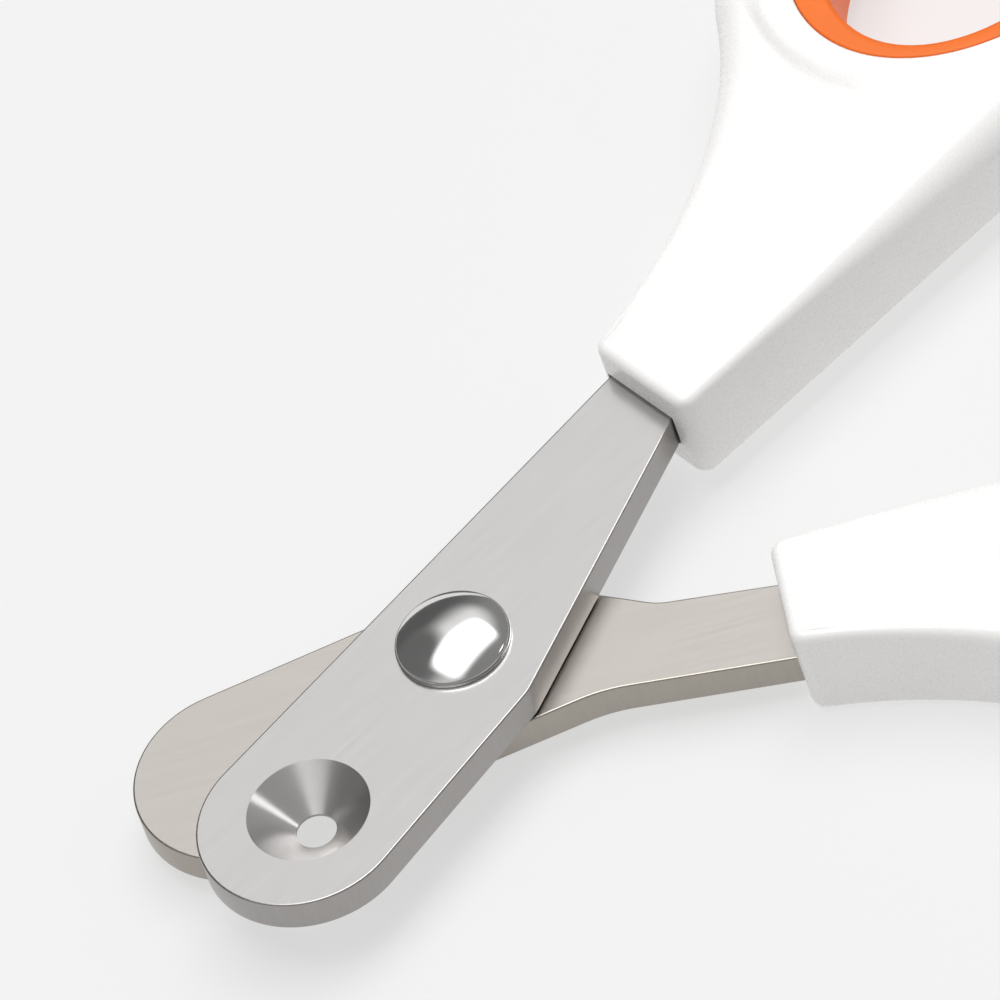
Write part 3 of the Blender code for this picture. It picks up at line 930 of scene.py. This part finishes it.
class TRIMMER_OT_ring_liners(bpy.types.Operator):
    """Build the soft liners of the two finger rings"""

    bl_idname = "trimmer.ring_liners"
    bl_label = "Ring Liners"

    def execute(self, context):
        settings = context.scene.trimmer_liners
        rubber = soft_grip_rubber("satin_soft_grip_rubber", settings.rubber)
        for side, body in HALF_BODIES.items():
            node = half_node(side, "ring_liner")
            shell = liner_shell(side, *levels(node), settings)
            settle(shell.finish("soft_" + node, [rubber]), node, body)
        return {"FINISHED"}


class TRIMMER_OT_pivot_rivet(bpy.types.Operator):
    """Build the rivet: a domed head with a round shoulder, a shank, and a stub for the back cap"""

    bl_idname = "trimmer.pivot_rivet"
    bl_label = "Pivot Rivet"

    def execute(self, context):
        settings = context.scene.trimmer_pivot
        radius = settings.dome_radius / MM
        small = settings.edge_round / MM
        foot, crown = levels("pivot_rivet")
        crown -= DOME_FLATTENING
        step = levels("pivot_washer")[0]
        head = levels("upper_blade")[1] + HEAD_CLEARANCE
        slope, shoulder = settings.dome_slope, settings.shoulder_round / MM
        ball = (radius - shoulder * (1 - math.sin(slope))) / math.sin(slope)
        shoulder_z = crown - ball * (1 - math.cos(slope)) - shoulder * math.cos(slope)
        profile = rounded_profile([
            (0.0, foot, 0.0), (STUB_RADIUS, foot, small), (STUB_RADIUS, step, 0.0),
            (SHANK_RADIUS, step, 0.0), (SHANK_RADIUS, head, 0.0), (radius, head, small),
            (radius, shoulder_z, 0.0),
        ])
        shoulder_arc = arc((radius - shoulder, shoulder_z), shoulder, 0.0, math.pi / 2 - slope)
        dome = arc((0.0, crown - ball), ball, math.pi / 2 - slope, math.pi / 2, DOME_STEP)
        dome[-1, 0] = 0.0
        shell = turned_shell(np.vstack((profile, shoulder_arc[1:], dome[1:])))
        steel = polished_stainless("buffed_rivet_stainless", settings.polished)
        piece = shell.finish("domed_pivot_rivet", [steel])
        settle(piece, "pivot_rivet", "lower_half")
        return {"FINISHED"}


class TRIMMER_OT_pivot_washer(bpy.types.Operator):
    """Build the washer between the back cap and the lower blade"""

    bl_idname = "trimmer.pivot_washer"
    bl_label = "Pivot Washer"

    def execute(self, context):
        settings = context.scene.trimmer_pivot
        bottom, top = levels("pivot_washer")
        small = settings.edge_round / MM
        corners = [
            (WASHER_BORE, bottom, small), (WASHER_RADIUS, bottom, small),
            (WASHER_RADIUS, top, small), (WASHER_BORE, top, small),
        ]
        profile = rounded_profile([corners[-1][:2] + (0.0,), *corners, corners[0][:2] + (0.0,)])[1:-1]
        zinc = zinc_plated_steel("zinc_plated_washer", settings.zinc)
        piece = turned_shell(profile).finish("plated_pivot_washer", [zinc])
        settle(piece, "pivot_washer", "lower_half")
        return {"FINISHED"}


class TRIMMER_OT_pivot_back_cap(bpy.types.Operator):
    """Build the round cap on the rivet's stub"""

    bl_idname = "trimmer.pivot_back_cap"
    bl_label = "Pivot Back Cap"

    def execute(self, context):
        settings = context.scene.trimmer_pivot
        bottom, top = levels("pivot_back_cap")
        small = settings.edge_round / MM
        profile = rounded_profile([
            (0.0, bottom, 0.0), (CAP_RADIUS, bottom, CAP_ROUND), (CAP_RADIUS, top, small),
            (CAP_BORE, top, small), (CAP_BORE, CAP_FLOOR, 0.0), (0.0, CAP_FLOOR, 0.0),
        ])
        steel = polished_stainless("buffed_cap_stainless", settings.polished)
        piece = turned_shell(profile).finish("flat_pivot_back_cap", [steel])
        settle(piece, "pivot_back_cap", "lower_half")
        return {"FINISHED"}


def direction(azimuth, elevation):
    """Unit vector towards a direction given in degrees: turn from +X about Z, and height."""
    a, e = math.radians(azimuth), math.radians(elevation)
    return Vector((math.cos(a) * math.cos(e), math.sin(a) * math.cos(e), math.sin(e)))


def patch_mask(tree, look, azimuth, elevation, inner, outer):
    """1 inside a round patch of directions and 0 outside it, from the cosine to its middle."""
    towards = add_node(tree, "ShaderNodeVectorMath", {"operation": "DOT_PRODUCT"}, {
        0: look, 1: direction(azimuth, elevation),
    })
    edge = {"From Min": math.cos(math.radians(outer)), "From Max": math.cos(math.radians(inner))}
    return add_node(tree, "ShaderNodeMapRange", {"interpolation_type": "SMOOTHSTEP"}, {
        "Value": towards.outputs["Value"], **edge,
    }).outputs["Result"]


def softbox_mask(tree, look, centre, turn, half_sizes, blur):
    """1 inside a rectangle on a ceiling one unit up and 0 outside it: a direction divided by its
    height gives the place on the ceiling, whose distances along and across fade over the blur."""
    height = add_node(tree, "ShaderNodeSeparateXYZ", None, {"Vector": look}).outputs["Z"]
    above = add_node(tree, "ShaderNodeMath", {"operation": "MAXIMUM"}, {0: height, 1: 0.01}).outputs[0]
    place = add_node(tree, "ShaderNodeVectorMath", {"operation": "DIVIDE"}, {0: look}).outputs["Vector"]
    tree.links.new(above, place.node.inputs[1])
    mask = add_node(tree, "ShaderNodeMath", {"operation": "GREATER_THAN"}, {0: height, 1: 0.02}).outputs[0]
    for axis_turn, half in zip((turn, turn + 90.0), half_sizes):
        axis = direction(axis_turn, 0.0)
        offset = axis.dot(Vector((*centre, 0.0)))
        along = add_node(tree, "ShaderNodeVectorMath", {"operation": "DOT_PRODUCT"}, {0: place, 1: axis})
        away = add_node(tree, "ShaderNodeMath", {"operation": "SUBTRACT"}, {
            0: along.outputs["Value"], 1: offset,
        })
        reach = add_node(tree, "ShaderNodeMath", {"operation": "ABSOLUTE"}, {0: away.outputs[0]})
        inside = add_node(tree, "ShaderNodeMapRange", {"interpolation_type": "SMOOTHSTEP"}, {
            "Value": reach.outputs[0], "From Min": half - blur / 2, "From Max": half + blur / 2,
            "To Min": 1.0, "To Max": 0.0,
        }).outputs["Result"]
        mask = add_node(tree, "ShaderNodeMath", {"operation": "MULTIPLY"}, {0: mask, 1: inside}).outputs[0]
    return mask


def studio_world(scene):
    """Room round the stage: grey walls, a lighter ceiling over the far side, a dark corner behind it,
    and overhead softboxes."""
    world = bpy.data.worlds.new("studio_room")
    scene.world = world
    world.use_nodes = True
    tree = world.node_tree
    tree.nodes.clear()
    look = add_node(tree, "ShaderNodeTexCoord").outputs["Generated"]
    shade = WALL_LIGHT
    masks = [(patch_mask(tree, look, *patch), light) for *patch, light in ROOM_PATCHES]
    masks += [(softbox_mask(tree, look, *softbox), light) for *softbox, light in SOFTBOXES]
    for mask, light in masks:
        shade = add_node(tree, "ShaderNodeMix", {"data_type": "FLOAT"}, {
            "Factor": mask, "A": shade, "B": light,
        }).outputs["Result"]
    background = add_node(tree, "ShaderNodeBackground", None, {"Strength": shade})
    add_node(tree, "ShaderNodeOutputWorld", None, {"Surface": background.outputs["Background"]})


class TRIMMER_OT_stage(bpy.types.Operator):
    """Set the floor, the soft studio light and the camera"""

    bl_idname = "trimmer.stage"
    bl_label = "Stage"

    def execute(self, context):
        scene = context.scene
        settings = scene.trimmer_stage
        floor_mesh = bpy.data.meshes.new("floor")
        half, below = FLOOR_HALF, -FLOOR_DROP * MM
        corners = [(-half, -half, below), (half, -half, below), (half, half, below), (-half, half, below)]
        floor_mesh.from_pydata(corners, [], [(0, 1, 2, 3)])
        material, tree, place = start_material("matt_paper")
        fibre = noise(tree, place, 0.6, 3.0)
        finish_material(material, {
            "Base Color": shades(tree, fibre, settings.floor, 0.99), "Roughness": 0.8,
            "Emission Color": (*settings.floor, 1.0), "Emission Strength": settings.floor_glow,
        })
        floor_mesh.materials.append(material)
        floor = bpy.data.objects.new("floor", floor_mesh)
        scene.collection.objects.link(floor)

        studio_world(scene)

        turn, height = settings.azimuth, settings.elevation
        back = Vector((
            math.sin(turn) * math.cos(height), -math.cos(turn) * math.cos(height), math.sin(height)
        ))
        level_right = Vector((math.cos(turn), math.sin(turn), 0.0))
        level_up = back.cross(level_right)
        right = math.cos(settings.roll) * level_right - math.sin(settings.roll) * level_up
        up = back.cross(right)
        lens = bpy.data.cameras.new("camera")
        lens.lens = lens.sensor_width * settings.distance / settings.view_width
        lens.clip_start = 0.01
        camera = bpy.data.objects.new("camera", lens)
        place = Vector(VIEW_CENTRE) * MM + back * settings.distance
        camera.matrix_world = Matrix.Translation(place) @ Matrix((right, up, back)).transposed().to_4x4()
        scene.collection.objects.link(camera)
        scene.camera = camera
        scene.view_settings.view_transform = "Standard"
        return {"FINISHED"}


class TRIMMER_PT_sidebar(bpy.types.Panel):
    """Buttons and settings of the trimmer"""

    bl_idname = "TRIMMER_PT_sidebar"
    bl_label = "Pet Nail Trimmer"
    bl_space_type = "VIEW_3D"
    bl_region_type = "UI"
    bl_category = "Trimmer"

    def draw(self, context):
        for operator in OPERATORS:
            self.layout.operator(operator.bl_idname)
        for name in SETTINGS:
            settings = getattr(context.scene, name)
            box = self.layout.box()
            for setting in settings.__annotations__:
                box.prop(settings, setting)


OPERATORS = (
    TRIMMER_OT_upper_blade, TRIMMER_OT_lower_blade, TRIMMER_OT_handles, TRIMMER_OT_ring_liners,
    TRIMMER_OT_pivot_rivet, TRIMMER_OT_pivot_washer, TRIMMER_OT_pivot_back_cap, TRIMMER_OT_stage,
)
SETTINGS = {
    "trimmer_blades": BladeSettings,
    "trimmer_handles": HandleSettings,
    "trimmer_liners": LinerSettings,
    "trimmer_pivot": PivotSettings,
    "trimmer_stage": StageSettings,
}


def register():
    for cls in (*SETTINGS.values(), *OPERATORS, TRIMMER_PT_sidebar):
        bpy.utils.register_class(cls)
    for name, group in SETTINGS.items():
        setattr(bpy.types.Scene, name, PointerProperty(type=group))


def unregister():
    for name in SETTINGS:
        delattr(bpy.types.Scene, name)
    for cls in (TRIMMER_PT_sidebar, *reversed(OPERATORS), *SETTINGS.values()):
        bpy.utils.unregister_class(cls)


def main():
    register()
    for operator in OPERATORS:
        group, name = operator.bl_idname.split(".")
        getattr(getattr(bpy.ops, group), name)()


if __name__ == "__main__":
    main()
